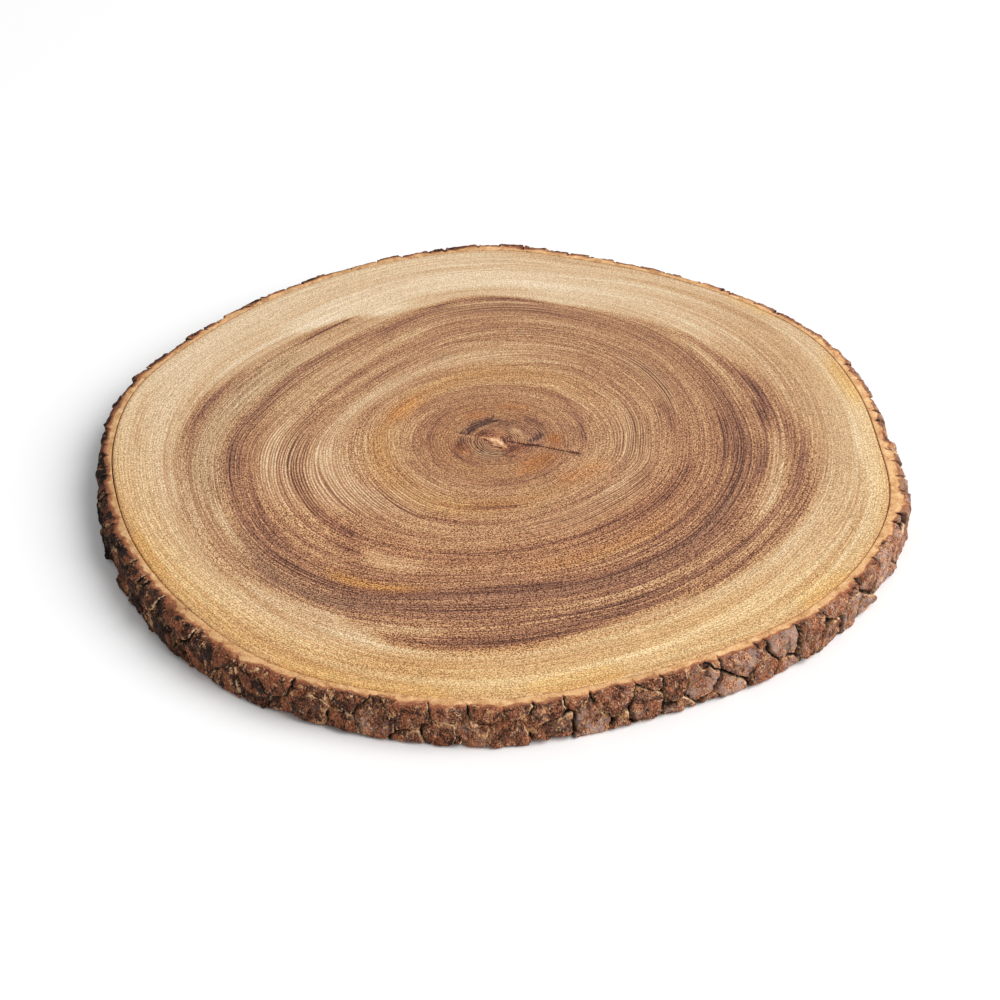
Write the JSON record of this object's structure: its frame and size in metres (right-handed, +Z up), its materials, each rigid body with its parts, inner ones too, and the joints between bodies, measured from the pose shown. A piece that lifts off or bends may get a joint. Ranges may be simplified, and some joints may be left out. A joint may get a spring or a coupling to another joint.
{
  "type": "wood slice",
  "caption": "Round, flat-faced cross-cut slice of a trunk with rugged bark left round its edge, used as a serving board or display base.",
  "frame": {"origin": "foot of the pith, on the underside that rests on the table", "axes": "+Z up along the trunk, out of the upper cut face; +X to the right and +Y away from the viewer in the picture"},
  "size_m": [0.3772, 0.3826, 0.02],
  "materials": {
    "wood": "planed and lightly oiled end grain, satin",
    "bark": "rough dry bark, matte"
  },
  "bodies": {
    "root": {"wood_disc": "wood", "bark_ring": "bark"}
  },
  "joints": []
}
